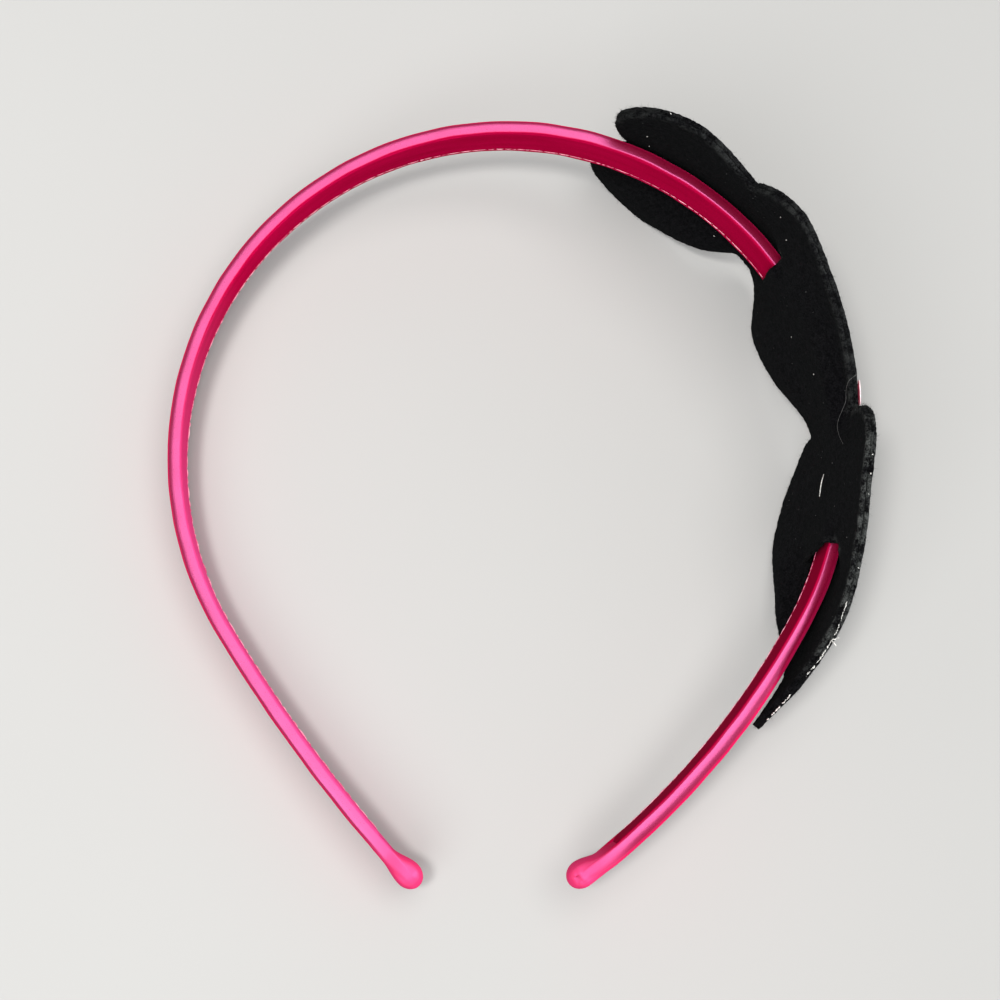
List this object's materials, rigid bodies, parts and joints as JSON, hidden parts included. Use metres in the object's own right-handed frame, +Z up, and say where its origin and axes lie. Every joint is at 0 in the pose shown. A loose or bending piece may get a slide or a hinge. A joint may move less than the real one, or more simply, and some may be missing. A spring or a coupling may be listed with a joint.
{
  "type": "heart headband",
  "caption": "Satin-covered hair band with a lining ribbon and a black felt slider of joined hearts threaded onto one side, lying on its edge.",
  "frame": {"origin": "centre of the bounding box in plan, on the surface that the headband lies on", "axes": "+Z up from that surface, +Y from the open tips towards the top of the crown, +X towards the side with the hearts"},
  "size_m": [0.131, 0.147, 0.0572],
  "materials": {
    "satin": "hot pink satin wrap",
    "lining": "deep pink woven ribbon",
    "felt": "matt black felt"
  },
  "bodies": {
    "root": {"band": "satin", "inner_ribbon": "lining", "felt_back": "felt", "felt_front": "felt"}
  },
  "joints": []
}
